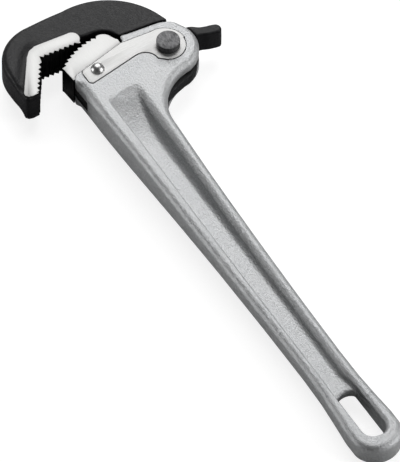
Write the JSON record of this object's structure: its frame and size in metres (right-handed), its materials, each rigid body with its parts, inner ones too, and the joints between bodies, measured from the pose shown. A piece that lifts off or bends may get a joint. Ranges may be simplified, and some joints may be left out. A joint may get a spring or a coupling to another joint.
{
  "type": "pipe wrench",
  "caption": "Lying one-hand pipe wrench with a spring-closed toothed hook jaw, a fixed toothed heel jaw, a thumb tab and a channelled handle with a hanging slot.",
  "frame": {"origin": "centre of the pivot pin's lower end face, on the pivot axis; the wrench lies flat above it", "axes": "+Z is the wrench's thickness and the pivot axis, +X runs from the pivot along the handle, +Y is the thumb tab's side"},
  "size_m": [0.3646, 0.1251, 0.0321],
  "materials": {
    "cast_aluminium": "fine blasted casting",
    "plate_steel": "bright rolled and tumbled",
    "black_forging": "black oxide, satin",
    "ground_jaw_steel": "ground faces, black teeth",
    "pin_black": "black oxide, scuffed",
    "rivet_steel": "polished",
    "dowel_steel": "ground",
    "washer_zinc": "zinc plated",
    "ring_black": "phosphated spring steel",
    "bronze": "sintered bronze",
    "spring_steel": "oiled spring wire"
  },
  "bodies": {
    "handle_assembly": {"handle": "cast_aluminium", "side_plate_front": "plate_steel", "side_plate_back": "plate_steel", "heel_jaw": "ground_jaw_steel", "heel_rivet": "rivet_steel", "heel_locating_pin": "dowel_steel", "opening_stop_pin": "dowel_steel", "pivot_pin": "pin_black", "pivot_washer": "washer_zinc", "pivot_retaining_ring": "ring_black", "closing_spring": "spring_steel"},
    "jaw": {"hook_jaw": "black_forging", "hook_jaw_insert": "ground_jaw_steel", "insert_dowels": "dowel_steel", "jaw_bushing": "bronze", "thrust_washer_front": "bronze", "thrust_washer_back": "bronze"}
  },
  "joints": [
    {"name": "jaw_swing", "type": "hinge", "parent": "handle_assembly", "child": "jaw", "pos_m": [0, 0, 0.0155], "axis": [0, 0, -1], "range_deg": [0, 70], "stiffness_Nm_per_rad": 0.25, "springref_deg": -45.84, "deforming": ["closing_spring"]}
  ]
}
